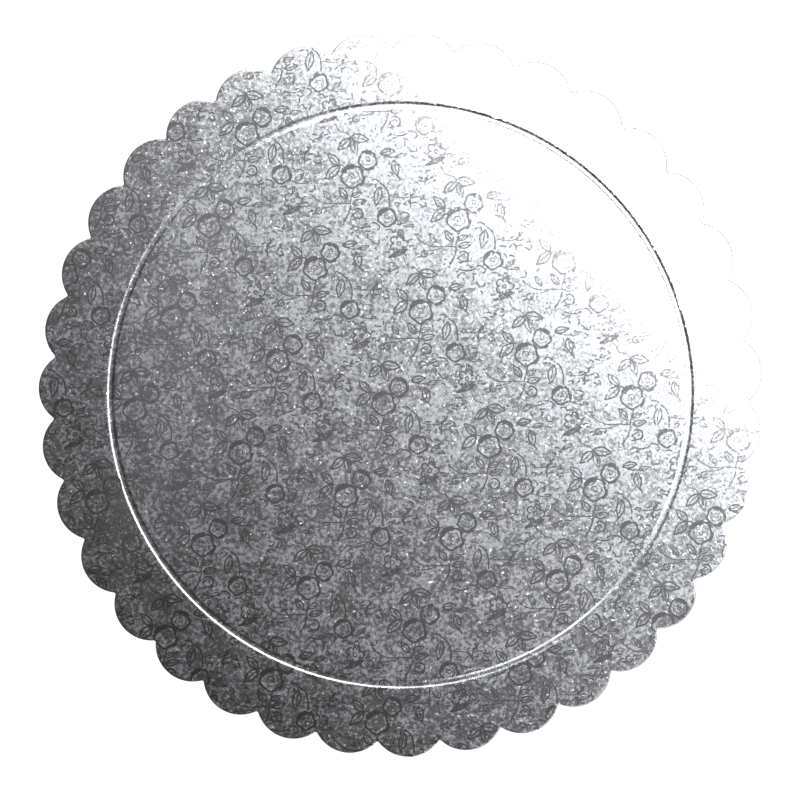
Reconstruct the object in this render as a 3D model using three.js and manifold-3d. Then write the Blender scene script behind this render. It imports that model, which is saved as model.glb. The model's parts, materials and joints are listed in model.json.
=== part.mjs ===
// A round cake board with a scalloped edge: solid card faced with silver foil, cut and pressed
// as one flat piece. A ring is pressed into its face, and the foil carries a repeating pattern of
// roses and leaves in low relief. Millimetres, +Z up, origin in the middle of the underside.

import * as THREE from 'three';
import { ConvexGeometry } from 'three/addons/geometries/ConvexGeometry.js';
import { mergeVertices } from 'three/addons/utils/BufferGeometryUtils.js';
import Module from 'manifold-3d';

// Board
const BOARD_DIAMETER = 300; // over the tips of the scallops
const BOARD_THICKNESS = 2; // card and foil, without the relief
const EDGE_ROLL = 0.7; // radius of the top edge, where the cutting die draws the foil down

// Scallops
const SCALLOP_PITCH = 26.9; // along the circle through the tips
const SCALLOP_DEPTH = 6.2; // from the tips to the notches
const NOTCH_RADIUS = 0.5; // bend of the cutting rule at the bottom of each notch
const FIRST_NOTCH_ANGLE = THREE.MathUtils.degToRad(-1.2);

// Pressed ring
const RIM_WIDTH = 30; // from the tips to the middle of the ring
const RING_WIDTH = 2.9; // over its rounded shoulders
const RING_FLOOR = 1.1; // width of the flat bottom
const RING_DEPTH = 0.2;

// Embossed foil: one repeat of the pattern and the sizes of what it holds
const REPEAT_LENGTH = 47.2;
const REPEAT_HEIGHT = 41.1;
const PATTERN_ANGLE = THREE.MathUtils.degToRad(-22.1);
const RELIEF = 0.1; // height of the crests above the foil
const RELIEF_ROOT = 0.3; // how far each motif reaches down into the card
const LARGE_ROSE = 10.3;
const SMALL_ROSE = 7.8;
const BLOSSOM = 8.4;
const LARGE_LEAF = { length: 7.4, width: 3.5 };
const SMALL_LEAF = { length: 5.6, width: 2.6 };
const FOIL_MARGIN = 0.2; // bare foil left beside the ring and the rolled edge

// Fineness of the curves
const LOBE_STEPS = 6;
const NOTCH_STEPS = 2;
const EDGE_STEPS = 2;
const RING_STEPS = 90;
const SHOULDER_STEPS = 2;
const FLOWER_SIDES = 7;

// Where each motif stands in a repeat, as shares of its length and height from the upper left
// corner. A leaf also has the direction in which it points, in degrees.
const FLOWERS = [
  { diameter: LARGE_ROSE, at: [0.89, 0.14] },
  { diameter: SMALL_ROSE, at: [0.96, 0.93] },
  { diameter: SMALL_ROSE, at: [0.31, 0.395] },
  { diameter: BLOSSOM, at: [0.48, 0.6] },
];
const LEAVES = [
  { size: LARGE_LEAF, at: [0.825, 0.76], points: 14 },
  { size: LARGE_LEAF, at: [0.718, 0.875], points: -116 },
  { size: LARGE_LEAF, at: [0.685, 0.055], points: 156 },
  { size: LARGE_LEAF, at: [0.715, 0.185], points: -116 },
  { size: SMALL_LEAF, at: [0.095, 0.78], points: 32 },
  { size: SMALL_LEAF, at: [0.03, 0.36], points: 38 },
];

const wasm = await Module();
wasm.setup();

const tipRadius = BOARD_DIAMETER / 2;
const ringRadius = tipRadius - RIM_WIDTH;
const edgeRoll = Math.min(EDGE_ROLL, BOARD_THICKNESS / 2);

// Each lobe is an arc through two notches and a tip, and a small arc rounds each notch.
const scallops = Math.round((Math.PI * BOARD_DIAMETER) / SCALLOP_PITCH);
const pitchAngle = (2 * Math.PI) / scallops;
const halfPitch = pitchAngle / 2;
const notchHalfChord = (tipRadius - SCALLOP_DEPTH) * Math.sin(halfPitch);
const lobeRise = tipRadius - (tipRadius - SCALLOP_DEPTH) * Math.cos(halfPitch);
const lobeRadius = (notchHalfChord ** 2 + lobeRise ** 2) / (2 * lobeRise);
const lobeReach = tipRadius - lobeRadius;
const notchReach = lobeReach * Math.cos(halfPitch)
  + Math.sqrt((lobeRadius + NOTCH_RADIUS) ** 2 - (lobeReach * Math.sin(halfPitch)) ** 2);
const lobeSwing = Math.atan2(
  notchReach * Math.sin(halfPitch),
  notchReach * Math.cos(halfPitch) - lobeReach,
);

function polar(radius, angle) {
  return new THREE.Vector2(radius * Math.cos(angle), radius * Math.sin(angle));
}

// The scalloped outline, moved in by an inset. The lobes shrink and the notches widen about the
// same centres, so every inset has the same points in the same order.
function scallopOutline(inset) {
  const points = [];
  for (let i = 0; i < scallops; i += 1) {
    const notchAngle = FIRST_NOTCH_ANGLE + i * pitchAngle;
    const notchCentre = polar(notchReach, notchAngle);
    const notchSwing = lobeSwing - halfPitch;
    for (let j = 0; j <= NOTCH_STEPS; j += 1) {
      const angle = notchAngle + Math.PI + notchSwing * (1 - (2 * j) / NOTCH_STEPS);
      points.push(polar(NOTCH_RADIUS + inset, angle).add(notchCentre));
    }
    const lobeAngle = notchAngle + halfPitch;
    const lobeCentre = polar(lobeReach, lobeAngle);
    for (let j = 1; j < LOBE_STEPS; j += 1) {
      const angle = lobeAngle + lobeSwing * ((2 * j) / LOBE_STEPS - 1);
      points.push(polar(lobeRadius - inset, angle).add(lobeCentre));
    }
  }
  return points;
}

// A closed body through outlines of equal length, one above the other.
function loft(levels) {
  const count = levels[0].outline.length;
  const positions = levels.flatMap(({ outline, z }) => outline.flatMap((p) => [p.x, p.y, z]));
  const index = [];
  for (let level = 1; level < levels.length; level += 1) {
    for (let i = 0; i < count; i += 1) {
      const next = (i + 1) % count;
      const below = (level - 1) * count;
      const above = level * count;
      index.push(below + i, below + next, above + next);
      index.push(below + i, above + next, above + i);
    }
  }
  const top = (levels.length - 1) * count;
  for (const [a, b, c] of THREE.ShapeUtils.triangulateShape(levels.at(-1).outline, [])) {
    index.push(top + a, top + b, top + c);
  }
  for (const [a, b, c] of THREE.ShapeUtils.triangulateShape(levels[0].outline, [])) {
    index.push(a, c, b);
  }
  const geometry = new THREE.BufferGeometry();
  geometry.setAttribute('position', new THREE.Float32BufferAttribute(positions, 3));
  geometry.setIndex(index);
  return geometry;
}

// Turns a profile of radius and height about the Z axis.
function turned(profile, steps) {
  const points = profile.map(([radius, z]) => new THREE.Vector2(radius, z));
  return new THREE.LatheGeometry(points, steps).rotateX(Math.PI / 2);
}

function toSolid(geometry) {
  const bare = geometry.clone();
  bare.deleteAttribute('normal');
  bare.deleteAttribute('uv');
  const merged = mergeVertices(bare);
  return new wasm.Manifold(new wasm.Mesh({
    numProp: 3,
    vertProperties: new Float32Array(merged.attributes.position.array),
    triVerts: new Uint32Array(merged.index.array),
  }));
}

function toGeometry(solid) {
  const mesh = solid.getMesh();
  const geometry = new THREE.BufferGeometry();
  geometry.setAttribute('position', new THREE.BufferAttribute(mesh.vertProperties, 3));
  geometry.setIndex(new THREE.BufferAttribute(mesh.triVerts, 1));
  geometry.computeVertexNormals();
  return geometry;
}

// The flat board: an upright cut edge, and a quarter round where the foil is drawn over it.
function makePlate() {
  const levels = [{ outline: scallopOutline(0), z: 0 }];
  for (let i = 0; i <= EDGE_STEPS; i += 1) {
    const turn = ((Math.PI / 2) * i) / EDGE_STEPS;
    levels.push({
      outline: scallopOutline(edgeRoll * (1 - Math.cos(turn))),
      z: BOARD_THICKNESS - edgeRoll * (1 - Math.sin(turn)),
    });
  }
  return toSolid(loft(levels));
}

// What the press takes out of the face: a ring with a flat floor and smooth shoulders.
function makePressedRing() {
  const shoulder = (RING_WIDTH - RING_FLOOR) / 2;
  const wall = [];
  for (let i = 0; i <= SHOULDER_STEPS; i += 1) {
    const share = i / SHOULDER_STEPS;
    const rise = (1 - Math.cos(Math.PI * share)) / 2;
    wall.push([RING_FLOOR / 2 + shoulder * share, BOARD_THICKNESS - RING_DEPTH * (1 - rise)]);
  }
  const outerWall = wall.map(([offset, z]) => [ringRadius + offset, z]);
  const innerWall = wall.map(([offset, z]) => [ringRadius - offset, z]);
  const lid = BOARD_THICKNESS + RING_DEPTH;
  const profile = [
    ...outerWall,
    [ringRadius + RING_WIDTH / 2, lid],
    [ringRadius - RING_WIDTH / 2, lid],
    ...innerWall.reverse(),
    outerWall[0],
  ];
  return toSolid(turned(profile, RING_STEPS));
}

// A rose is a shallow cup: petals rise to a crest and fall to the heart.
function makeFlower(diameter) {
  const radius = diameter / 2;
  const profile = [
    [0, -RELIEF_ROOT],
    [radius, -RELIEF_ROOT],
    [radius, 0],
    [radius * 0.7, RELIEF],
    [0, RELIEF * 0.3],
  ];
  return toSolid(turned(profile, FLOWER_SIDES));
}

// A leaf points along +X, with a crest along its midrib.
function makeLeaf({ length, width }) {
  const outline = [
    [-length / 2, 0],
    [0, width / 2],
    [length / 2, 0],
    [0, -width / 2],
  ];
  const points = outline.flatMap(([x, y]) => [
    new THREE.Vector3(x, y, -RELIEF_ROOT),
    new THREE.Vector3(x, y, 0),
  ]);
  points.push(new THREE.Vector3(0, 0, RELIEF));
  return toSolid(new ConvexGeometry(points));
}

// Puts a motif on the foil, at its share of one repeat of the pattern.
function place(motif, column, row, [along, down], points = 0) {
  const spot = new THREE.Vector2(
    (column + along) * REPEAT_LENGTH,
    -(row + down) * REPEAT_HEIGHT,
  ).rotateAround(new THREE.Vector2(), PATTERN_ANGLE);
  if (spot.length() > tipRadius + LARGE_ROSE) {
    return [];
  }
  const turn = points + THREE.MathUtils.radToDeg(PATTERN_ANGLE);
  return [motif.rotate([0, 0, turn]).translate([spot.x, spot.y, BOARD_THICKNESS])];
}

// The foil that keeps its relief: the rim and the middle, each clear of the pressed ring.
function makeFoilField() {
  const low = BOARD_THICKNESS - 2 * RELIEF_ROOT;
  const high = BOARD_THICKNESS + 2 * RELIEF;
  const whole = toSolid(loft([
    { outline: scallopOutline(edgeRoll + FOIL_MARGIN), z: low },
    { outline: scallopOutline(edgeRoll + FOIL_MARGIN), z: high },
  ]));
  const clear = RING_WIDTH / 2 + FOIL_MARGIN;
  const ring = toSolid(turned([
    [ringRadius - clear, low - RELIEF],
    [ringRadius + clear, low - RELIEF],
    [ringRadius + clear, high + RELIEF],
    [ringRadius - clear, high + RELIEF],
    [ringRadius - clear, low - RELIEF],
  ], RING_STEPS));
  return whole.subtract(ring);
}

function makeRelief() {
  const flowers = FLOWERS.map((flower) => ({ ...flower, solid: makeFlower(flower.diameter) }));
  const leaves = LEAVES.map((leaf) => ({ ...leaf, solid: makeLeaf(leaf.size) }));
  const columns = Math.ceil((tipRadius * Math.SQRT2) / REPEAT_LENGTH);
  const rows = Math.ceil((tipRadius * Math.SQRT2) / REPEAT_HEIGHT);
  const motifs = [];
  for (let column = -columns; column < columns; column += 1) {
    for (let row = -rows; row < rows; row += 1) {
      for (const { solid, at, points } of [...flowers, ...leaves]) {
        motifs.push(...place(solid, column, row, at, points));
      }
    }
  }
  return wasm.Manifold.union(motifs).intersect(makeFoilField());
}

const foil = new THREE.MeshStandardMaterial({
  name: 'silver_foil',
  color: 0xc4c6ca,
  roughness: 0.3,
  metalness: 0.9,
});

const board = new THREE.Mesh(
  toGeometry(makePlate().subtract(makePressedRing()).add(makeRelief())),
  foil,
);
board.name = 'cake_board';

const cakeBoard = new THREE.Group();
cakeBoard.name = 'scalloped_cake_board';
cakeBoard.add(board);

export default cakeBoard;
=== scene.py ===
# Dresses the scalloped cake board: card with a silver foil face, a pressed ring, and roses, leaves
# and sprigs embossed in the foil. Everything is in metres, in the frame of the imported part.
import json
import math

import bpy
from bpy.props import FloatProperty, FloatVectorProperty, IntProperty, PointerProperty
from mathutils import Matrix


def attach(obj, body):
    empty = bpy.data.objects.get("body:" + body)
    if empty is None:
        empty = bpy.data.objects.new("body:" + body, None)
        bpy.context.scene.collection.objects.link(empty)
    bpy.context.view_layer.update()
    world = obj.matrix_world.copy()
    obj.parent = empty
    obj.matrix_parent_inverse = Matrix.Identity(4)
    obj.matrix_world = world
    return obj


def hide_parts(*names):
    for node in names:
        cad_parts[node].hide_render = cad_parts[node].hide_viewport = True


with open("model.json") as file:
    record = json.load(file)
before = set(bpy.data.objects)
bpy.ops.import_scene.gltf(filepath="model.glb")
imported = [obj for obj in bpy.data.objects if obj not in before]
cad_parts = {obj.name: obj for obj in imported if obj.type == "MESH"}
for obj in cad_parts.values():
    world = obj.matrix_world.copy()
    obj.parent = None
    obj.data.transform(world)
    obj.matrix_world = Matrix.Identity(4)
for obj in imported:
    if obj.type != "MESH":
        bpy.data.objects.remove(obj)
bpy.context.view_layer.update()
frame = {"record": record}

bl_info = {
    "name": "Scalloped Cake Board",
    "version": (1, 0, 0),
    "blender": (4, 5, 0),
    "location": "View3D > Sidebar > Cake Board",
    "description": "Foil-faced cake board with a scalloped edge, a pressed ring and embossed roses",
    "category": "Add Mesh",
}

MM = 0.001
NODE = "cake_board"
BODY = "root"
FACE_HEIGHT = next(m["pos_m"][2] for m in frame["record"]["mounts"] if m["name"] == "top_face")

# The picture that the camera fills, in pixels, and where the board stands in it
PICTURE_WIDTH = 800
PICTURE_HEIGHT = 795
BOARD_RADIUS_PX = 362.6
BOARD_CENTRE_PX = (400.4, 395.0)


def linear(hex_colour):
    """An sRGB hex colour as linear red, green, blue and alpha."""
    channels = [int(hex_colour[i:i + 2], 16) / 255 for i in (1, 3, 5)]
    return tuple(c / 12.92 if c <= 0.04045 else ((c + 0.055) / 1.055) ** 2.4 for c in channels) + (1,)


def length(name, description, millimetres):
    """A length, given in millimetres and kept in metres."""
    return FloatProperty(
        name=name, description=description, default=millimetres * MM, min=0.0, unit="LENGTH")


def factor(name, description, default):
    """A number from nought to one."""
    return FloatProperty(
        name=name, description=description, default=default, min=0.0, max=1.0, subtype="FACTOR")


def slope(name, description, default):
    """A lean, as height over distance."""
    return FloatProperty(name=name, description=description, default=default, min=0.0)


def rotation(name, description, degrees):
    """An angle, given in degrees and kept in radians."""
    return FloatProperty(
        name=name, description=description, default=math.radians(degrees), subtype="ANGLE",
        unit="ROTATION")


def colour(name, description, hex_colour):
    """A colour, given as sRGB hex and kept linear."""
    return FloatVectorProperty(
        name=name, description=description, default=linear(hex_colour), size=4, subtype="COLOR",
        min=0.0, max=1.0)


class BoardShape(bpy.types.PropertyGroup):
    """Sizes of the flat board and its scallops."""

    diameter: length("Diameter", "Over the tips of the scallops, a hair inside the packed part", 299.9)
    scallops: IntProperty(name="Scallops", description="Lobes round the edge", default=35, min=3)
    scallop_depth: length("Scallop Depth", "From the tips to the notches", 6.2)
    notch_radius: length("Notch Radius", "Bend of the cutting rule in each notch", 0.5)
    first_notch: rotation("First Notch", "Direction of one notch", -1.2)
    edge_roll: length("Edge Roll", "Radius over which the die draws the foil down", 0.7)
    cut_burr: length("Cut Burr", "Soft lower corner of the cut card", 0.12)


class PressedRing(bpy.types.PropertyGroup):
    """Sizes of the ring that is pressed into the face."""

    rim_width: length("Rim Width", "From the scallop tips to the middle of the ring", 30)
    width: length("Width", "Over the rounded shoulders", 3.3)
    floor: length("Floor", "Flat bottom between the shoulders", 0.7)
    depth: length("Depth", "Below the face", 0.185)


class Emboss(bpy.types.PropertyGroup):
    """Sizes of the pattern that the roller embosses in the foil.

    The sizes of a line are those of one drawn 1 wide. A line drawn wider is higher and deeper too.
    """

    repeat_length: length("Repeat Length", "One repeat of the pattern, along it", 47.2)
    repeat_height: length("Repeat Height", "One repeat of the pattern, across it", 41.1)
    angle: rotation("Pattern Angle", "Turn of the pattern on the board", -22.1)
    stroke: length("Stroke", "Width of an embossed line at its foot", 0.64)
    relief: length("Relief", "Height of an embossed line above the foil", 0.05)
    root: length("Root", "Depth to which a line's foot is sunk in the foil", 0.03)
    step: length("Step", "Distance between the sections of a line", 0.5)
    repeats: IntProperty(name="Repeats", description="Repeats each way", default=9, min=1)


class Finish(bpy.types.PropertyGroup):
    """Colours and grain of the foil and the card."""

    foil: colour("Foil", "Aluminium seen through clear lacquer", "#E4E6EA")
    foil_roughness: factor("Foil Roughness", "Haze of the deepest stipple", 0.33)
    clear_roughness: factor("Clear Roughness", "Haze between the clusters of stipple", 0.18)
    line_roughness: factor("Line Roughness", "Haze of the embossed lines", 0.1)
    cluster: length("Cluster", "Size of the clusters of stipple", 1.8)
    patch: length("Patch", "Size of the patches in which clusters lie closer", 10.0)
    grain: length("Grain", "Size of the grains, as coarse as the picture shows them", 1.2)
    lean: slope("Lean", "How far the grains lean", 0.07)
    fleck: length("Fleck", "Size of the flecks among the grains", 1.2)
    fleck_lean: slope("Fleck Lean", "How far the flecks lean", 0.6)
    rim_start: length("Rim Start", "Distance from the middle at which the rim is pressed flatter", 120)
    rim_width: length("Rim Width", "Distance over which the rim's stipple thins out", 7)
    rim_press: factor("Rim Press", "How much harder a cluster of stipple forms on the rim", 0.05)
    card: colour("Card", "Grey board made of pulped waste paper", "#8F8A80")
    pulp: length("Pulp", "Size of the flocks of fibre in the card", 1.4)
    pulp_relief: length("Pulp Relief", "Height of the flocks of fibre", 0.03)


class Studio(bpy.types.PropertyGroup):
    """Sizes of the stage round the board."""

    camera_height: length("Camera Height", "Above the face of the board", 750)
    floor_size: length("Floor Size", "Side of the pale floor", 6000)
    floor_gap: length("Floor Gap", "Keeps the floor's plane clear of the board's underside", 0.05)
    floor: colour("Floor", "White paper sweep", "#FFFFFF")


GROUPS = {
    "cake_shape": BoardShape,
    "cake_ring": PressedRing,
    "cake_emboss": Emboss,
    "cake_finish": Finish,
    "cake_studio": Studio,
}


def add_node(tree, kind, inputs=None, **settings):
    """Adds one node. Each input is a value, or the output socket that is linked to it."""
    node = tree.nodes.new(kind)
    for name, value in settings.items():
        setattr(node, name, value)
    for key, value in (inputs or {}).items():
        if isinstance(value, bpy.types.NodeSocket):
            tree.links.new(value, node.inputs[key])
        else:
            node.inputs[key].default_value = value
    return node


def new_material(name):
    """An empty node material and its tree."""
    material = bpy.data.materials.new(name)
    material.use_nodes = True
    material.node_tree.nodes.clear()
    return material, material.node_tree


# Noise values from which a grain is a fleck, and at which a fleck leans furthest
FLECK_START = 0.63
FLECK_FULL = 0.78


def leaning_normal(tree, place, finish, share, upright):
    """A normal that fine grains lean every way, by a share of their full lean.

    It is drawn from the shape's own normal, where upright is 0, to straight up, where it is 1. A few
    grains are flecks, which lean much further and catch a light far aside, or lose one.
    """
    grains = add_node(tree, "ShaderNodeTexNoise", {
        "Vector": place, "Scale": 1 / finish.grain, "Detail": 2.0, "Roughness": 0.7})
    about_zero = add_node(tree, "ShaderNodeVectorMath", {
        0: grains.outputs["Color"], 1: (0.5, 0.5, 0.5)}, operation="SUBTRACT")
    flecks = add_node(tree, "ShaderNodeTexNoise", {
        "Vector": place, "Scale": 1 / finish.fleck, "Detail": 1.0, "Roughness": 0.6})
    steepness = add_node(tree, "ShaderNodeMapRange", {
        "Value": flecks.outputs["Fac"], "From Min": FLECK_START, "From Max": FLECK_FULL,
        "To Min": finish.lean * share, "To Max": finish.fleck_lean * share})
    sideways = add_node(tree, "ShaderNodeVectorMath", {
        0: about_zero.outputs["Vector"], "Scale": steepness.outputs["Result"]}, operation="SCALE")
    level = add_node(tree, "ShaderNodeVectorMath", {
        0: sideways.outputs["Vector"], 1: (1.0, 1.0, 0.0)}, operation="MULTIPLY")
    shape = add_node(tree, "ShaderNodeNewGeometry").outputs["Normal"]

    # Inputs 4 and 5 of a Mix node are its two vectors, and its output 1 is their mix
    drawn_up = add_node(tree, "ShaderNodeMix", {
        "Factor": upright, 4: shape, 5: (0.0, 0.0, 1.0)}, data_type="VECTOR")
    leaned = add_node(tree, "ShaderNodeVectorMath", {
        0: drawn_up.outputs[1], 1: level.outputs["Vector"]}, operation="ADD")
    return add_node(tree, "ShaderNodeVectorMath", {
        0: leaned.outputs["Vector"]}, operation="NORMALIZE").outputs["Vector"]


# Values of the clusters' noise, with a share of the patches' added, from which the stipple is hazy
# and at which it is haziest
HAZE_START = 0.59
HAZE_FULL = 0.83
PATCH_WEIGHT = 0.4


def stipple_haze(tree, place, finish, clear, fewer):
    """Roughness that rises in clusters, from that of the clear foil to that of the deepest stipple.

    The greater fewer is, the fewer clusters there are. The rim of the board has a few less as well.
    """
    clusters = add_node(tree, "ShaderNodeTexNoise", {
        "Vector": place, "Scale": 1 / finish.cluster, "Detail": 2.0, "Roughness": 0.75})
    patches = add_node(tree, "ShaderNodeTexNoise", {
        "Vector": place, "Scale": 1 / finish.patch, "Detail": 2.0, "Roughness": 0.5})
    swell = add_node(tree, "ShaderNodeMath", {
        0: patches.outputs["Fac"], 1: PATCH_WEIGHT, 2: clusters.outputs["Fac"]},
        operation="MULTIPLY_ADD")
    reach = add_node(tree, "ShaderNodeVectorMath", {0: place}, operation="LENGTH")
    press = add_node(tree, "ShaderNodeMapRange", {
        "Value": reach.outputs["Value"], "From Min": finish.rim_start,
        "From Max": finish.rim_start + finish.rim_width, "To Min": 0.0, "To Max": finish.rim_press})
    pressed = add_node(tree, "ShaderNodeMath", {
        0: swell.outputs[0], 1: press.outputs["Result"]}, operation="SUBTRACT")
    haze = add_node(tree, "ShaderNodeMapRange", {
        "Value": pressed.outputs[0], "From Min": HAZE_START + fewer, "From Max": HAZE_FULL + fewer,
        "To Min": clear, "To Max": finish.foil_roughness})
    return haze.outputs["Result"]


def foil_material(name, finish, clear, fewer, share, upright):
    """Aluminium foil with the haze and the lean that are given."""
    material, tree = new_material(name)
    place = add_node(tree, "ShaderNodeTexCoord").outputs["Object"]
    shader = add_node(tree, "ShaderNodeBsdfPrincipled", {
        "Base Color": finish.foil, "Metallic": 1.0,
        "Roughness": stipple_haze(tree, place, finish, clear, fewer),
        "Normal": leaning_normal(tree, place, finish, share, upright)})
    add_node(tree, "ShaderNodeOutputMaterial", {"Surface": shader.outputs["BSDF"]})
    return material


def stippled_foil(finish):
    """Aluminium foil, stippled by a roller and glued to card.

    Where the stipple is deep it is hazy and spreads a light into a pale bloom. Between such clusters
    the foil is nearly a mirror and shows a dim room, so that the lit side is mottled.
    """
    return foil_material(
        "Aluminium foil, stippled", finish, finish.clear_roughness, fewer=0.0, share=1.0, upright=0.0)


def burnished_foil(finish):
    """The same foil where the ring's die and the cutting die have bent it and rubbed it a little.

    Its narrow bends gather a light into bright lines and the dim room into dark ones, and most of
    the stipple still shows in them.
    """
    return foil_material(
        "Aluminium foil, burnished", finish, finish.clear_roughness, fewer=0.02, share=1.0, upright=0.0)


def embossed_foil(finish):
    """Foil pressed clear on the roller's lines, which are flatter than the ridges that carry them.

    The lines mirror the dim room, dark on the bright side of the board and lost on its dark side.
    Some of the stipple breaks through them.
    """
    return foil_material(
        "Aluminium foil, embossed", finish, finish.line_roughness, fewer=0.22, share=0.3, upright=1.0)


# Brightness of the darkest and palest fibres beside the card's own
DARK_FIBRE = 0.7
PALE_FIBRE = 1.25


def grey_card(finish):
    """Grey board, pressed from pulped waste paper: dull, with pale and dark fibres."""
    material, tree = new_material("Grey board, pressed")
    place = add_node(tree, "ShaderNodeTexCoord").outputs["Object"]
    pulp = add_node(tree, "ShaderNodeTexNoise", {
        "Vector": place, "Scale": 1 / finish.pulp, "Detail": 4.0, "Roughness": 0.65})
    tone = add_node(tree, "ShaderNodeValToRGB", {"Fac": pulp.outputs["Fac"]})
    dark, pale = tone.color_ramp.elements
    dark.position = 0.3
    dark.color = [c * DARK_FIBRE for c in finish.card[:3]] + [1]
    pale.position = 0.7
    pale.color = [min(c * PALE_FIBRE, 1) for c in finish.card[:3]] + [1]
    bump = add_node(tree, "ShaderNodeBump", {
        "Strength": 1.0, "Distance": finish.pulp_relief, "Height": pulp.outputs["Fac"]})
    shader = add_node(tree, "ShaderNodeBsdfPrincipled", {
        "Base Color": tone.outputs["Color"], "Roughness": 0.9, "Normal": bump.outputs["Normal"]})
    add_node(tree, "ShaderNodeOutputMaterial", {"Surface": shader.outputs["BSDF"]})
    return material


def shared_material(name, make, finish):
    """The material of that name, made on first use."""
    return bpy.data.materials.get(name) or make(finish)


def polar(radius, angle):
    """A point of the plan, as a complex number."""
    return complex(radius * math.cos(angle), radius * math.sin(angle))


# Steps in the arc of each lobe and of each notch
LOBE_STEPS = 20
NOTCH_STEPS = 4


def scallop_outline(shape, inset):
    """The scalloped outline, moved in by inset, with the same points at every inset."""
    tip = shape.diameter / 2
    pitch = 2 * math.pi / shape.scallops
    half = pitch / 2
    half_chord = (tip - shape.scallop_depth) * math.sin(half)
    rise = tip - (tip - shape.scallop_depth) * math.cos(half)
    lobe_radius = (half_chord ** 2 + rise ** 2) / (2 * rise)
    lobe_reach = tip - lobe_radius
    notch_reach = lobe_reach * math.cos(half) + math.sqrt(
        (lobe_radius + shape.notch_radius) ** 2 - (lobe_reach * math.sin(half)) ** 2)
    lobe_swing = math.atan2(
        notch_reach * math.sin(half), notch_reach * math.cos(half) - lobe_reach)
    points = []
    for i in range(shape.scallops):
        notch = shape.first_notch + i * pitch
        for j in range(NOTCH_STEPS + 1):
            turn = notch + math.pi + (lobe_swing - half) * (1 - 2 * j / NOTCH_STEPS)
            points.append(polar(notch_reach, notch) + polar(shape.notch_radius + inset, turn))
        lobe = notch + half
        for j in range(1, LOBE_STEPS):
            turn = lobe + lobe_swing * (2 * j / LOBE_STEPS - 1)
            points.append(polar(lobe_reach, lobe) + polar(lobe_radius - inset, turn))
    return points


# Steps in the roll of the edge and in each wall of the ring, and the flat band beside them
EDGE_STEPS = 7
SHOULDER_STEPS = 8
FLAT_MARGIN = 0.4 * MM

# Places of the finishes among the materials of the board's mesh
STIPPLED, CARD, BURNISHED = range(3)


def ring_profile(ring, middle):
    """Radius and height across the pressed ring, from its outer shoulder to its inner one."""
    shoulder = (ring.width - ring.floor) / 2
    wall = []
    for i in range(SHOULDER_STEPS + 1):
        share = i / SHOULDER_STEPS
        rise = (1 - math.cos(math.pi * share)) / 2
        wall.append((ring.floor / 2 + shoulder * share, FACE_HEIGHT - ring.depth * (1 - rise)))
    outer = [(middle + offset, z) for offset, z in reversed(wall)]
    inner = [(middle - offset, z) for offset, z in wall]
    return outer + inner


def board_levels(shape, ring):
    """Outlines and heights from the rim of the underside, up the cut edge and over the face.

    Each has the finish of the band above it: card, stippled foil or burnished foil.
    """
    burr, roll = shape.cut_burr, shape.edge_roll
    levels = [(scallop_outline(shape, burr), 0.0, CARD), (scallop_outline(shape, 0.0), burr, CARD)]
    for i in range(EDGE_STEPS + 1):
        turn = math.pi / 2 * i / EDGE_STEPS
        inset = roll * (1 - math.cos(turn))
        height = FACE_HEIGHT - roll * (1 - math.sin(turn))
        levels.append((scallop_outline(shape, inset), height, BURNISHED))
    levels.append((scallop_outline(shape, roll + FLAT_MARGIN), FACE_HEIGHT, STIPPLED))
    spokes = [point / abs(point) for point in levels[-1][0]]
    middle = shape.diameter / 2 - ring.rim_width
    profile = ring_profile(ring, middle)
    outer, inner = profile[0][0], profile[-1][0]
    circles = [
        (outer + FLAT_MARGIN, FACE_HEIGHT, STIPPLED),
        *((radius, z, BURNISHED) for radius, z in profile[:-1]),
        (*profile[-1], STIPPLED),
        (inner - FLAT_MARGIN, FACE_HEIGHT, STIPPLED),
        (middle / 2, FACE_HEIGHT, STIPPLED),
    ]
    levels += [([spoke * radius for spoke in spokes], z, kind) for radius, z, kind in circles]
    return levels


def board_mesh(shape, ring):
    """A closed mesh through the levels, with the finish of each band."""
    levels = board_levels(shape, ring)
    count = len(levels[0][0])
    vertices = [(p.real, p.imag, z) for outline, z, _ in levels for p in outline]
    faces = []
    finishes = []
    for level, (_, _, finish) in enumerate(levels[:-1]):
        below = level * count
        above = below + count
        for i in range(count):
            following = (i + 1) % count
            faces.append((below + i, below + following, above + following, above + i))
            finishes.append(finish)
    under = len(vertices)
    over = under + 1
    vertices += [(0.0, 0.0, 0.0), (0.0, 0.0, FACE_HEIGHT)]
    last = (len(levels) - 1) * count
    for i in range(count):
        following = (i + 1) % count
        faces += [(under, following, i), (over, last + i, last + following)]
        finishes += [CARD, STIPPLED]
    mesh = bpy.data.meshes.new("foil_board")
    mesh.from_pydata(vertices, [], faces)
    mesh.polygons.foreach_set("material_index", finishes)
    return mesh


# Faces that meet at more than this stay sharp
BOARD_SHARP = math.radians(30)
LINE_SHARP = math.radians(60)


def finish_mesh(mesh, sharp_angle):
    """Smooth faces that meet at less than the sharp angle."""
    mesh.polygons.foreach_set("use_smooth", [True] * len(mesh.polygons))
    mesh.set_sharp_from_angle(angle=sharp_angle)
    mesh.update()


def add_piece(name, data):
    """An object at the origin, linked to the scene."""
    piece = bpy.data.objects.new(name, data)
    bpy.context.scene.collection.objects.link(piece)
    return piece


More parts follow.
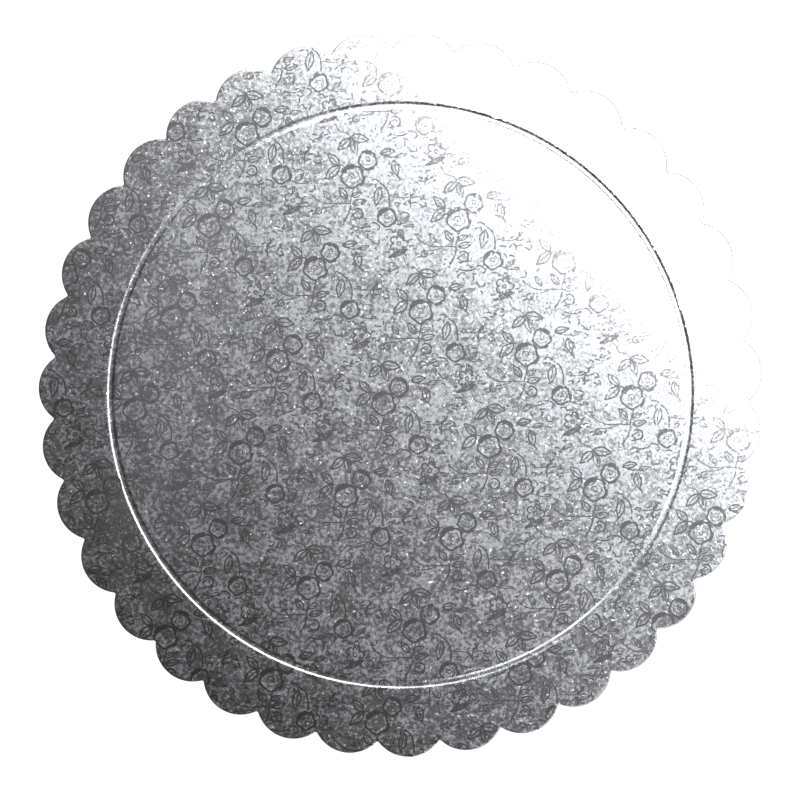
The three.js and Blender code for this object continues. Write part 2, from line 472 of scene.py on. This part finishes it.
class CAKEBOARD_OT_board(bpy.types.Operator):
    """Build the card board with its foil face, pressed ring and rolled edge"""

    bl_idname = "cake_board.board"
    bl_label = "Foil Board"

    def execute(self, context):
        scene = context.scene
        mesh = board_mesh(scene.cake_shape, scene.cake_ring)
        finish = scene.cake_finish
        mesh.materials.append(shared_material("Aluminium foil, stippled", stippled_foil, finish))
        mesh.materials.append(shared_material("Grey board, pressed", grey_card, finish))
        mesh.materials.append(shared_material("Aluminium foil, burnished", burnished_foil, finish))
        finish_mesh(mesh, BOARD_SHARP)
        piece = add_piece("foil_board", mesh)
        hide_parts(NODE)
        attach(piece, BODY)
        return {"FINISHED"}


# Each line is up to six steps wider and higher than its drawing, so that the flat crests of lines
# that cross don't coincide
WIDTH_STEP = 0.012
WIDTH_STEPS = 7


def line(curve, points, width=1.0, closed=False, corners=()):
    """Adds one embossed line through points, which are millimetres right and down the repeat."""
    spline = curve.splines.new("BEZIER")
    spline.bezier_points.add(len(points) - 1)
    spline.use_cyclic_u = closed
    uneven = 1 + WIDTH_STEP * (len(curve.splines) % WIDTH_STEPS)
    for i, (knot, (x, y)) in enumerate(zip(spline.bezier_points, points)):
        knot.co = (x * MM, -y * MM, 0.0)
        kind = "VECTOR" if i in corners else "AUTO"
        knot.handle_left_type = knot.handle_right_type = kind
        knot.radius = width * uneven


def around(centre, reach, angle):
    """The point at a reach and an angle from the centre, where y runs down the repeat."""
    return centre[0] + reach * math.cos(angle), centre[1] - reach * math.sin(angle)


def arc(curve, centre, radius, start, end, width=1.0, waves=0, wave=0.0, steps=12):
    """An arc of an embossed flower. Waves make it ripple as the rim of a petal does."""
    points = []
    for i in range(steps + 1):
        angle = math.radians(start + (end - start) * i / steps)
        reach = radius * (1 + wave * math.cos(waves * angle))
        points.append(around(centre, reach, angle))
    line(curve, points, width)


# Steps in each turn of a rose's heart, and where it starts as a share of its radius
SPIRAL_STEPS = 10
SPIRAL_START = 0.15


def spiral(curve, centre, radius, turns, start, width):
    """The furled heart of a rose, from its middle outwards."""
    steps = int(turns * SPIRAL_STEPS)
    points = []
    for i in range(steps + 1):
        share = i / steps
        angle = math.radians(start) + turns * 2 * math.pi * share
        reach = radius * (SPIRAL_START + (1 - SPIRAL_START) * share)
        points.append(around(centre, reach, angle))
    line(curve, points, width)


# Lines of the petal that folds over a rose's rim: share of the radius, and width
FOLD_LINES = [(0.72, 1.2), (0.86, 1.3), (1.0, 1.2)]


def rose(curve, centre, radius, turn):
    """A rose seen from above: a rippled outer rim, one petal folded over it, and a furled heart."""
    arc(curve, centre, radius * 0.92, turn + 35, turn + 345, 1.5, waves=5, wave=0.06, steps=30)
    for reach, width in FOLD_LINES:
        arc(curve, centre, radius * reach, turn - 42, turn + 38, width, steps=10)

    # Two petals that show past the rim, and one inside it
    arc(curve, centre, radius * 1.06, turn + 190, turn + 240, 1.3, steps=8)
    arc(curve, centre, radius * 1.04, turn + 265, turn + 300, 1.1, steps=6)
    arc(curve, centre, radius * 0.56, turn + 110, turn + 300, 0.5, waves=3, wave=0.08, steps=16)
    spiral(curve, centre, radius * 0.34, 1.2, turn, 0.7)


def blossom(curve, centre, radius, turn, petals=5):
    """An open flower: round petals about a ring of stamens."""
    for i in range(petals):
        angle = math.radians(turn + 360 * i / petals)
        spot = around(centre, radius * 0.62, angle)
        out = math.degrees(angle)
        arc(curve, spot, radius * 0.36, out - 130, out + 130, 1.1, steps=10)
    arc(curve, centre, radius * 0.2, 0, 340, 0.9, steps=10)


def bud(curve, centre, radius, turn):
    """A closed flower: one rim about a furled heart."""
    arc(curve, centre, radius, turn, turn + 320, 1.1)
    spiral(curve, centre, radius * 0.55, 1.0, turn, 0.7)


# Where a leaf's side and its midrib run: shares of its length, and of half its width for the side
LEAF_SIDE = [(0.22, 0.75), (0.5, 1.0), (0.8, 0.45)]
LEAF_RIB = [0.1, 0.5, 0.75]
RIB_WIDTH = 0.7


def leaf(curve, base, tip, width, stroke):
    """A leaf outline from its base to its tip, with a midrib."""
    foot = complex(*base)
    along = complex(*tip) - foot
    side = along / abs(along) * 1j * width / 2
    outline = [
        foot,
        *(foot + along * share + side * spread for share, spread in LEAF_SIDE),
        foot + along,
        *(foot + along * share - side * spread for share, spread in reversed(LEAF_SIDE)),
    ]
    corners = (0, len(LEAF_SIDE) + 1)
    line(curve, [(p.real, p.imag) for p in outline], stroke, closed=True, corners=corners)
    rib = [foot + along * share for share in LEAF_RIB]
    line(curve, [(p.real, p.imag) for p in rib], stroke * RIB_WIDTH)


# Where the motifs stand in one repeat of the pattern, in millimetres right and down from its upper
# left corner. Flowers: centre, radius, and turn in degrees.
ROSES = [
    ((42.0, 6.0), 4.9, 142),
    ((45.3, 38.4), 3.9, 92),
    ((14.5, 16.3), 3.9, 150),
]
BLOSSOMS = [((23.0, 24.4), 3.9, 20)]
BUDS = [((2.6, 19.3), 2.1, 200), ((34.4, 24.4), 1.3, 80)]
# Leaves: base, tip, breadth, and how wide the line is drawn
LEAVES = [
    ((35.3, 32.2), (42.8, 30.4), 3.6, 1.3),
    ((35.4, 32.7), (32.3, 39.3), 3.2, 1.2),
    ((36.3, 33.3), (40.3, 38.0), 2.8, 0.8),
    ((35.2, 3.6), (28.9, 0.9), 3.0, 1.1),
    ((35.4, 3.9), (31.9, 11.2), 3.6, 1.2),
    ((1.9, 33.8), (7.0, 30.5), 2.6, 1.2),
    ((8.3, 32.9), (12.3, 29.8), 1.7, 0.8),
    ((46.3, 16.4), (51.2, 12.9), 2.4, 1.1),
    ((43.5, 15.3), (38.6, 12.2), 2.6, 1.1),
    ((44.8, 13.8), (48.4, 10.5), 2.0, 0.9),
    ((37.2, 18.4), (33.0, 15.6), 2.0, 0.9),
    ((8.0, 34.4), (12.0, 39.9), 3.0, 1.2),
    ((6.9, 5.6), (8.4, 13.6), 3.2, 1.1),
    ((20.4, 17.0), (23.0, 12.2), 1.6, 0.8),
    ((20.9, 18.9), (23.9, 22.3), 2.0, 0.9),
    ((27.2, 25.2), (21.2, 31.4), 1.7, 1.3),
]
# Stems: the points that each runs through, and how wide the line is drawn
STEMS = [
    ([(6.3, 4.2), (9.5, 5.2), (12.0, 8.0), (13.6, 11.8)], 1.2),
    ([(29.5, 19.4), (32.5, 20.4), (36.5, 20.3), (41.0, 18.3), (45.8, 16.5)], 0.9),
    ([(27.0, 29.3), (30.0, 31.6), (33.0, 31.3), (35.3, 32.3)], 0.8),
    ([(45.9, 17.0), (46.3, 21.0), (45.8, 25.0)], 1.1),
    ([(44.4, 10.2), (44.7, 13.0), (45.3, 16.6)], 0.9),
    ([(2.0, 34.2), (5.5, 33.9), (9.0, 32.5)], 0.8),
    ([(35.2, 3.8), (36.4, 3.2), (37.5, 3.4)], 0.8),
    ([(12.6, 7.4), (16.5, 6.6), (19.5, 5.0), (21.6, 2.6)], 0.8),
    ([(18.5, 17.3), (22.5, 16.9), (26.2, 15.4)], 0.8),
    ([(2.5, 24.8), (6.0, 24.4), (9.2, 22.0)], 1.1),
    ([(35.0, 22.8), (37.6, 21.4), (40.6, 19.0)], 0.8),
    ([(9.0, 20.8), (11.4, 20.2), (13.2, 21.2), (12.6, 22.8)], 1.1),
]
# Short strokes: foot, the direction in which each points in degrees, and length
SPRIGS = [
    ((21.8, 8.6), 92, 8.0), ((21.8, 7.4), 150, 2.4), ((21.8, 7.0), 30, 2.2), ((21.6, 4.8), 145, 2.2),
    ((21.8, 4.6), 35, 2.2), ((21.6, 2.4), 140, 2.0), ((19.2, 7.2), 250, 1.6), ((24.6, 2.0), 300, 2.0),
    ((24.4, 4.2), 20, 2.4), ((26.4, 4.6), 320, 2.0), ((24.8, 6.2), 340, 2.2), ((26.6, 6.6), 30, 1.8),
    ((13.4, 6.6), 10, 2.2), ((18.0, 5.2), 60, 1.6), ((15.0, 9.8), 20, 2.6), ((17.0, 10.4), 80, 1.8),
    ((17.4, 12.0), 330, 2.4), ((19.8, 12.0), 10, 2.6), ((22.0, 13.0), 300, 2.0), ((23.8, 15.8), 15, 2.4),
    ((2.6, 4.4), 10, 3.4), ((3.6, 5.6), 230, 1.8), ((4.8, 5.4), 290, 1.6), ((2.8, 24.6), 250, 2.0),
    ((4.2, 26.4), 30, 2.0), ((5.4, 27.6), 320, 1.8), ((3.4, 28.2), 60, 1.6), ((9.2, 25.2), 290, 2.4),
    ((11.2, 27.2), 330, 2.2), ((13.2, 28.6), 20, 2.2), ((14.0, 30.0), 340, 1.8), ((15.4, 27.4), 100, 1.6),
    ((10.4, 23.8), 200, 2.2), ((16.0, 21.4), 30, 2.0), ((17.4, 20.2), 330, 2.2), ((19.0, 21.4), 40, 1.8),
    ((21.4, 26.8), 300, 2.4), ((26.4, 22.4), 60, 2.2), ((25.6, 27.2), 340, 2.4), ((27.4, 24.0), 30, 2.0),
    ((20.6, 29.0), 200, 1.8), ((22.0, 33.6), 20, 2.4), ((23.6, 34.8), 250, 2.0), ((25.2, 33.0), 320, 1.8),
    ((24.8, 35.8), 40, 1.8), ((20.0, 37.4), 15, 2.2), ((21.8, 38.4), 10, 2.2), ((19.8, 39.4), 350, 2.4),
    ((23.4, 37.2), 40, 1.6), ((26.6, 36.6), 60, 1.6), ((28.8, 15.4), 300, 1.8), ((29.2, 17.4), 210, 1.8),
    ((29.0, 19.2), 320, 1.6), ((33.0, 13.8), 60, 1.6), ((31.2, 26.4), 50, 1.8), ((29.2, 24.6), 30, 1.8),
    ((33.6, 25.8), 210, 1.6), ((0.8, 21.2), 60, 2.4), ((2.0, 17.4), 340, 2.6), ((4.4, 18.6), 280, 2.4),
    ((9.6, 36.0), 30, 2.0), ((8.2, 39.6), 350, 2.2), ((11.6, 39.8), 330, 2.4), ((6.2, 35.2), 300, 1.8),
    ((1.2, 22.8), 20, 2.0), ((6.8, 22.8), 40, 1.6), ((37.2, 33.8), 300, 3.0), ((36.8, 24.0), 60, 1.4),
]
# Dots: the middle of each
DOTS = [
    (42.4, 26.4), (43.6, 25.2), (45.0, 26.8), (46.1, 25.7), (42.6, 28.5), (44.8, 28.2), (43.3, 23.4),
    (45.6, 23.8), (41.8, 24.2), (38.6, 16.4), (30.4, 22.8), (17.8, 24.0), (16.4, 25.6), (18.8, 26.6),
    (31.2, 28.0), (6.0, 20.2), (27.8, 11.6), (1.6, 9.8), (4.2, 11.2), (28.4, 38.6), (17.2, 33.4),
]
# How wide the sprigs are drawn, and how far the middle of each swings aside, in degrees
SPRIG_WIDTH = 1.1
SPRIG_BEND = 18
# How far a dot reaches right and down, and how wide it is drawn
DOT_SIZE = (0.6, 0.1)
DOT_WIDTH = 1.3


def draw_flowers(curve):
    for centre, radius, turn in ROSES:
        rose(curve, centre, radius, turn)
    for centre, radius, turn in BLOSSOMS:
        blossom(curve, centre, radius, turn)
    for centre, radius, turn in BUDS:
        bud(curve, centre, radius, turn)


def draw_leaves(curve):
    for base, tip, width, stroke in LEAVES:
        leaf(curve, base, tip, width, stroke)


def draw_sprigs(curve):
    across, down = DOT_SIZE
    for points, width in STEMS:
        line(curve, points, width)
    for foot, direction, reach in SPRIGS:
        bend = around(foot, reach / 2, math.radians(direction + SPRIG_BEND))
        end = around(foot, reach, math.radians(direction))
        line(curve, [foot, bend, end], SPRIG_WIDTH)
    for x, y in DOTS:
        line(curve, [(x - across / 2, y), (x + across / 2, y + down)], DOT_WIDTH)


# What the nodes are given: the lines of one repeat, the board they lie on, and their sizes
TREE_INPUTS = [
    ("Geometry", "NodeSocketGeometry"),
    ("Board", "NodeSocketObject"),
    ("Repeat Length", "NodeSocketFloat"),
    ("Repeat Height", "NodeSocketFloat"),
    ("Pattern Angle", "NodeSocketFloat"),
    ("Repeats", "NodeSocketInt"),
    ("Stroke", "NodeSocketFloat"),
    ("Relief", "NodeSocketFloat"),
    ("Root", "NodeSocketFloat"),
    ("Step", "NodeSocketFloat"),
    ("Lowest Foil", "NodeSocketFloat"),
    ("Material", "NodeSocketMaterial"),
]

# Width of a ridge's crest as a share of its foot, and how far above the foil the drop starts
CREST_SHARE = 0.6
RAY_START = 10 * MM


def emboss_tree():
    """Nodes that repeat the lines of one repeat over the board and raise them in its foil."""
    tree = bpy.data.node_groups.new("Emboss repeat", "GeometryNodeTree")
    for name, kind in TREE_INPUTS:
        tree.interface.new_socket(name, in_out="INPUT", socket_type=kind)
    tree.interface.new_socket("Geometry", in_out="OUTPUT", socket_type="NodeSocketGeometry")
    given = add_node(tree, "NodeGroupInput").outputs

    # Lines of one repeat, as edges with their width
    sampled = add_node(tree, "GeometryNodeResampleCurve", {
        "Curve": given["Geometry"], "Length": given["Step"]}, mode="LENGTH")
    radius = add_node(tree, "GeometryNodeInputRadius")
    stored = add_node(tree, "GeometryNodeStoreNamedAttribute", {
        "Geometry": sampled.outputs["Curve"], "Name": "line_width",
        "Value": radius.outputs["Radius"]}, data_type="FLOAT", domain="POINT")
    edges = add_node(tree, "GeometryNodeCurveToMesh", {"Curve": stored.outputs["Geometry"]})

    # The repeats, side by side, turned to the pattern's angle
    gaps = add_node(tree, "ShaderNodeMath", {0: given["Repeats"], 1: 1.0}, operation="SUBTRACT")
    across = add_node(tree, "ShaderNodeMath", {
        0: gaps.outputs[0], 1: given["Repeat Length"]}, operation="MULTIPLY")
    down = add_node(tree, "ShaderNodeMath", {
        0: gaps.outputs[0], 1: given["Repeat Height"]}, operation="MULTIPLY")
    grid = add_node(tree, "GeometryNodeMeshGrid", {
        "Size X": across.outputs[0], "Size Y": down.outputs[0],
        "Vertices X": given["Repeats"], "Vertices Y": given["Repeats"]})
    copies = add_node(tree, "GeometryNodeInstanceOnPoints", {
        "Points": grid.outputs["Mesh"], "Instance": edges.outputs["Mesh"]})
    joined = add_node(tree, "GeometryNodeRealizeInstances", {"Geometry": copies.outputs["Instances"]})
    axis_turn = add_node(tree, "ShaderNodeCombineXYZ", {"Z": given["Pattern Angle"]})
    turned = add_node(tree, "GeometryNodeTransform", {
        "Geometry": joined.outputs["Geometry"], "Rotation": axis_turn.outputs["Vector"]})

    # Lines dropped on the foil, and ended where it dips into the ring or rolls over the edge
    board = add_node(tree, "GeometryNodeObjectInfo", {"Object": given["Board"]})
    here = add_node(tree, "GeometryNodeInputPosition")
    above = add_node(tree, "ShaderNodeVectorMath", {
        0: here.outputs["Position"], 1: (0.0, 0.0, RAY_START)}, operation="ADD")
    drop = add_node(tree, "GeometryNodeRaycast", {
        "Target Geometry": board.outputs["Geometry"], "Source Position": above.outputs["Vector"],
        "Ray Direction": (0.0, 0.0, -1.0), "Ray Length": 2 * RAY_START})
    landed = add_node(tree, "ShaderNodeSeparateXYZ", {"Vector": drop.outputs["Hit Position"]})
    level = add_node(tree, "FunctionNodeCompare", {
        "A": landed.outputs["Z"], "B": given["Lowest Foil"]},
        data_type="FLOAT", operation="GREATER_THAN")
    off_face = add_node(tree, "FunctionNodeBooleanMath", {
        0: drop.outputs["Is Hit"], 1: level.outputs["Result"]}, operation="NAND")
    laid = add_node(tree, "GeometryNodeStoreNamedAttribute", {
        "Geometry": turned.outputs["Geometry"], "Name": "laid_at",
        "Value": drop.outputs["Hit Position"]}, data_type="FLOAT_VECTOR", domain="POINT")
    trimmed = add_node(tree, "GeometryNodeDeleteGeometry", {
        "Geometry": laid.outputs["Geometry"], "Selection": off_face.outputs["Boolean"]},
        domain="POINT", mode="ALL")
    laid_at = add_node(tree, "GeometryNodeInputNamedAttribute", {"Name": "laid_at"},
                       data_type="FLOAT_VECTOR")
    seated = add_node(tree, "GeometryNodeSetPosition", {
        "Geometry": trimmed.outputs["Geometry"], "Position": laid_at.outputs["Attribute"]})

    # A low ridge along every line. Its section stands upright, with its Y down into the foil, and
    # its middle is as far down as makes the crest rise by the relief and the foot sink by the root.
    paths = add_node(tree, "GeometryNodeMeshToCurve", {"Mesh": seated.outputs["Geometry"]})
    upright = add_node(tree, "GeometryNodeSetCurveNormal", {
        "Curve": paths.outputs["Curve"]}, mode="Z_UP")
    crest = add_node(tree, "ShaderNodeMath", {
        0: given["Stroke"], 1: CREST_SHARE}, operation="MULTIPLY")
    height = add_node(tree, "ShaderNodeMath", {
        0: given["Relief"], 1: given["Root"]}, operation="ADD")
    deeper = add_node(tree, "ShaderNodeMath", {
        0: given["Root"], 1: given["Relief"]}, operation="SUBTRACT")
    middle = add_node(tree, "ShaderNodeMath", {0: deeper.outputs[0], 1: 0.5}, operation="MULTIPLY")
    section = add_node(tree, "GeometryNodeCurvePrimitiveQuadrilateral", {
        "Bottom Width": crest.outputs[0], "Top Width": given["Stroke"], "Offset": 0.0,
        "Height": height.outputs[0]}, mode="TRAPEZOID")
    move_by = add_node(tree, "ShaderNodeCombineXYZ", {"Y": middle.outputs[0]})
    set_down = add_node(tree, "GeometryNodeTransform", {
        "Geometry": section.outputs["Curve"], "Translation": move_by.outputs["Vector"]})
    width = add_node(tree, "GeometryNodeInputNamedAttribute", {"Name": "line_width"},
                     data_type="FLOAT")
    ridges = add_node(tree, "GeometryNodeCurveToMesh", {
        "Curve": upright.outputs["Curve"], "Profile Curve": set_down.outputs["Geometry"],
        "Scale": width.outputs["Attribute"], "Fill Caps": True})
    whole = add_node(tree, "GeometryNodeRealizeInstances", {"Geometry": ridges.outputs["Mesh"]})
    dressed = add_node(tree, "GeometryNodeSetMaterial", {
        "Geometry": whole.outputs["Geometry"], "Material": given["Material"]})
    add_node(tree, "NodeGroupOutput", {"Geometry": dressed.outputs["Geometry"]})
    return tree


def emboss_piece(context, name, draw, relief_share):
    """One piece of the pattern: its lines are drawn once, repeated by nodes and made a mesh.

    The pieces differ in relief, so that their crests don't coincide where lines cross.
    """
    scene = context.scene
    emboss = scene.cake_emboss
    curve = bpy.data.curves.new(name + "_lines", "CURVE")
    curve.dimensions = "3D"
    curve.resolution_u = 8
    draw(curve)
    source = add_piece(name + "_lines", curve)
    tree = bpy.data.node_groups.get("Emboss repeat") or emboss_tree()
    modifier = source.modifiers.new("Emboss", "NODES")
    modifier.node_group = tree
    values = {
        "Board": bpy.data.objects["foil_board"],
        "Repeat Length": emboss.repeat_length,
        "Repeat Height": emboss.repeat_height,
        "Pattern Angle": emboss.angle,
        "Repeats": emboss.repeats,
        "Stroke": emboss.stroke,
        "Relief": emboss.relief * relief_share,
        "Root": emboss.root,
        "Step": emboss.step,
        "Lowest Foil": FACE_HEIGHT - emboss.root,
        "Material": shared_material("Aluminium foil, embossed", embossed_foil, scene.cake_finish),
    }
    for socket in tree.interface.items_tree:
        if socket.in_out == "INPUT" and socket.name in values:
            modifier[socket.identifier] = values[socket.name]
    evaluated = source.evaluated_get(context.evaluated_depsgraph_get())
    mesh = bpy.data.meshes.new_from_object(evaluated)
    mesh.name = name
    if not mesh.polygons:
        raise RuntimeError(f"{name} came out empty")
    source.modifiers.remove(modifier)
    bpy.data.objects.remove(source)
    bpy.data.curves.remove(curve)
    for attribute in ("line_width", "laid_at"):
        if attribute in mesh.attributes:
            mesh.attributes.remove(mesh.attributes[attribute])
    finish_mesh(mesh, LINE_SHARP)
    piece = add_piece(name, mesh)
    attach(piece, BODY)


class CAKEBOARD_OT_flowers(bpy.types.Operator):
    """Emboss the roses, blossoms and buds"""

    bl_idname = "cake_board.flowers"
    bl_label = "Embossed Flowers"

    def execute(self, context):
        emboss_piece(context, "embossed_flowers", draw_flowers, 1.0)
        return {"FINISHED"}


class CAKEBOARD_OT_leaves(bpy.types.Operator):
    """Emboss the leaves"""

    bl_idname = "cake_board.leaves"
    bl_label = "Embossed Leaves"

    def execute(self, context):
        emboss_piece(context, "embossed_leaves", draw_leaves, 0.9)
        return {"FINISHED"}


class CAKEBOARD_OT_sprigs(bpy.types.Operator):
    """Emboss the stems, sprigs and dots"""

    bl_idname = "cake_board.sprigs"
    bl_label = "Embossed Sprigs"

    def execute(self, context):
        emboss_piece(context, "embossed_sprigs", draw_sprigs, 0.8)
        return {"FINISHED"}


def softbox(name, azimuth, tilt, distance, size, radiance, tint="#FFFFFF"):
    """An oblong light over the board that faces its middle, tilted so many degrees from upright."""
    light = bpy.data.lights.new(name, "AREA")
    light.shape = "RECTANGLE"
    width, depth = size
    light.size = width
    light.size_y = depth

    # The power in watts that gives a plain surface light this radiance
    light.energy = radiance * math.pi * width * depth
    light.color = linear(tint)[:3]
    lamp = add_piece(name, light)
    flat = math.sin(math.radians(tilt)) * distance
    lamp.location = (
        flat * math.cos(math.radians(azimuth)), flat * math.sin(math.radians(azimuth)),
        math.cos(math.radians(tilt)) * distance)
    lamp.rotation_euler = (-lamp.location).to_track_quat("-Z", "Y").to_euler()


SENSOR = 36 * MM


def add_camera(shape, studio):
    """Looks straight down, with the board's place and size in the picture as measured."""
    metres_per_pixel = shape.diameter / 2 / BOARD_RADIUS_PX
    data = bpy.data.cameras.new("camera")
    data.sensor_width = SENSOR / MM
    data.lens = SENSOR / MM * studio.camera_height / (PICTURE_WIDTH * metres_per_pixel)
    camera = add_piece("camera", data)
    camera.location = (
        (PICTURE_WIDTH / 2 - BOARD_CENTRE_PX[0]) * metres_per_pixel,
        (BOARD_CENTRE_PX[1] - PICTURE_HEIGHT / 2) * metres_per_pixel,
        FACE_HEIGHT + studio.camera_height)
    bpy.context.scene.camera = camera


# The room's brightness at the horizon, and overhead on its dark and on its pale side
HORIZON = 0.6
ROOM_DARK = 0.036
ROOM_PALE = 0.27
# The direction of the pale side, and how far the sky overhead leans that way where it stops being
# dark and where it is fully pale
PALE_SIDE = (0.7, 0.7, 0.0)
DARK_UNTIL = -0.155
PALE_FROM = 0.13
# Heights in the sky, from 0 to 1, up to which it is as bright as the horizon and where that ends
HORIZON_TOP = 0.05
OVERHEAD = 0.75


def dim_room(world):
    """A dim room: grey overhead, paler to one side and towards the horizon."""
    world.use_nodes = True
    tree = world.node_tree
    tree.nodes.clear()
    place = add_node(tree, "ShaderNodeTexCoord")
    up = add_node(tree, "ShaderNodeSeparateXYZ", {"Vector": place.outputs["Generated"]})
    aside = add_node(tree, "ShaderNodeVectorMath", {
        0: place.outputs["Generated"], 1: PALE_SIDE}, operation="DOT_PRODUCT")
    overhead = add_node(tree, "ShaderNodeMapRange", {
        "Value": aside.outputs["Value"], "From Min": DARK_UNTIL, "From Max": PALE_FROM,
        "To Min": ROOM_DARK, "To Max": ROOM_PALE})
    fade = add_node(tree, "ShaderNodeMapRange", {
        "Value": up.outputs["Z"], "From Min": HORIZON_TOP, "From Max": OVERHEAD,
        "To Min": HORIZON, "To Max": overhead.outputs["Result"]})
    back = add_node(tree, "ShaderNodeBackground", {
        "Color": linear("#FFFDFB"), "Strength": fade.outputs["Result"]})
    add_node(tree, "ShaderNodeOutputWorld", {"Surface": back.outputs["Background"]})


def white_floor(studio):
    """White paper sweep, evenly lit: bright, with no shade of its own."""
    material, tree = new_material("White paper, matt")
    shader = add_node(tree, "ShaderNodeBsdfPrincipled", {
        "Base Color": studio.floor, "Roughness": 0.9, "Emission Color": studio.floor,
        "Emission Strength": 0.85})
    add_node(tree, "ShaderNodeOutputMaterial", {"Surface": shader.outputs["BSDF"]})
    return material


class CAKEBOARD_OT_studio(bpy.types.Operator):
    """Lay the pale floor, hang the lights and set the camera"""

    bl_idname = "cake_board.studio"
    bl_label = "Studio"

    def execute(self, context):
        scene = context.scene
        studio = scene.cake_studio
        half = studio.floor_size / 2
        mesh = bpy.data.meshes.new("floor")
        corners = [(-half, -half), (half, -half), (half, half), (-half, half)]
        mesh.from_pydata([(x, y, -studio.floor_gap) for x, y in corners], [], [(0, 1, 2, 3)])
        mesh.materials.append(white_floor(studio))
        floor = add_piece("floor", mesh)
        softbox(
            "key_light", azimuth=45, tilt=17.3, distance=3.15, size=(3.5, 0.87), radiance=4.0,
            tint="#FBFCFF")
        softbox("low_light", azimuth=-60, tilt=31, distance=3.0, size=(0.9, 0.7), radiance=2.2)
        softbox("far_wall", azimuth=170, tilt=10.6, distance=1.5, size=(0.49, 0.11), radiance=0.06)
        scene.world = bpy.data.worlds.new("dim_room")
        dim_room(scene.world)
        add_camera(scene.cake_shape, studio)
        scene.view_settings.view_transform = "Standard"
        return {"FINISHED"}


class CAKEBOARD_PT_panel(bpy.types.Panel):
    """Buttons and sizes for the cake board"""

    bl_idname = "CAKEBOARD_PT_panel"
    bl_label = "Cake Board"
    bl_space_type = "VIEW_3D"
    bl_region_type = "UI"
    bl_category = "Cake Board"

    def draw(self, context):
        layout = self.layout
        for name, group in GROUPS.items():
            box = layout.box()
            for value in group.__annotations__:
                box.prop(getattr(context.scene, name), value)
        for operator in OPERATORS:
            layout.operator(operator.bl_idname)


OPERATORS = [
    CAKEBOARD_OT_board,
    CAKEBOARD_OT_flowers,
    CAKEBOARD_OT_leaves,
    CAKEBOARD_OT_sprigs,
    CAKEBOARD_OT_studio,
]


def register():
    for cls in [*GROUPS.values(), *OPERATORS, CAKEBOARD_PT_panel]:
        bpy.utils.register_class(cls)
    for name, group in GROUPS.items():
        setattr(bpy.types.Scene, name, PointerProperty(type=group))


def unregister():
    for name in GROUPS:
        delattr(bpy.types.Scene, name)
    for cls in reversed([*GROUPS.values(), *OPERATORS, CAKEBOARD_PT_panel]):
        bpy.utils.unregister_class(cls)


def main():
    register()
    bpy.ops.cake_board.board()
    bpy.ops.cake_board.flowers()
    bpy.ops.cake_board.leaves()
    bpy.ops.cake_board.sprigs()
    bpy.ops.cake_board.studio()


if __name__ == "__main__":
    main()
